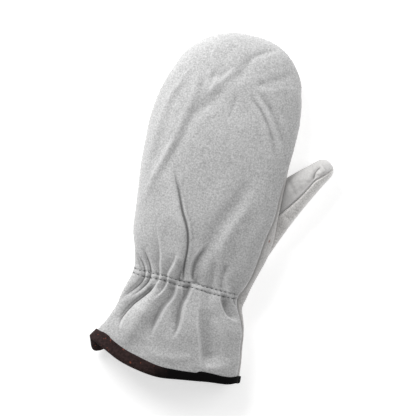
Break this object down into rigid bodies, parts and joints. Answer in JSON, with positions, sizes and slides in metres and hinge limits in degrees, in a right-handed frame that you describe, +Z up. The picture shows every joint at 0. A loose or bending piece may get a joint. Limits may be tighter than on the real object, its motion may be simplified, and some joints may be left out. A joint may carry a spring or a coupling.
{
  "type": "leather palm work mitt",
  "caption": "Split leather work mitt for the left hand with a set-in thumb, a gathered wrist and a bound cuff, lying palm down.",
  "frame": {"origin": "on the surface that the mitt lies on, under the middle of its box", "axes": "+X across the hand towards the thumb, +Y from the cuff's hem to the fingertips, +Z up out of the back of the hand"},
  "size_m": [0.1698, 0.2974, 0.044],
  "materials": {
    "back_leather": "light grey split leather with a short nap",
    "palm_leather": "warm grey split leather, rough and fuzzy",
    "thumb_inner_leather": "grey split leather with a short nap",
    "thumb_outer_leather": "warm grey split leather, rough and fuzzy",
    "binding_leather": "dark brown suede"
  },
  "bodies": {
    "root": {"back_panel": "back_leather", "palm_panel": "palm_leather", "thumb_inner": "thumb_inner_leather", "thumb_outer": "thumb_outer_leather", "cuff_binding": "binding_leather"}
  },
  "joints": []
}
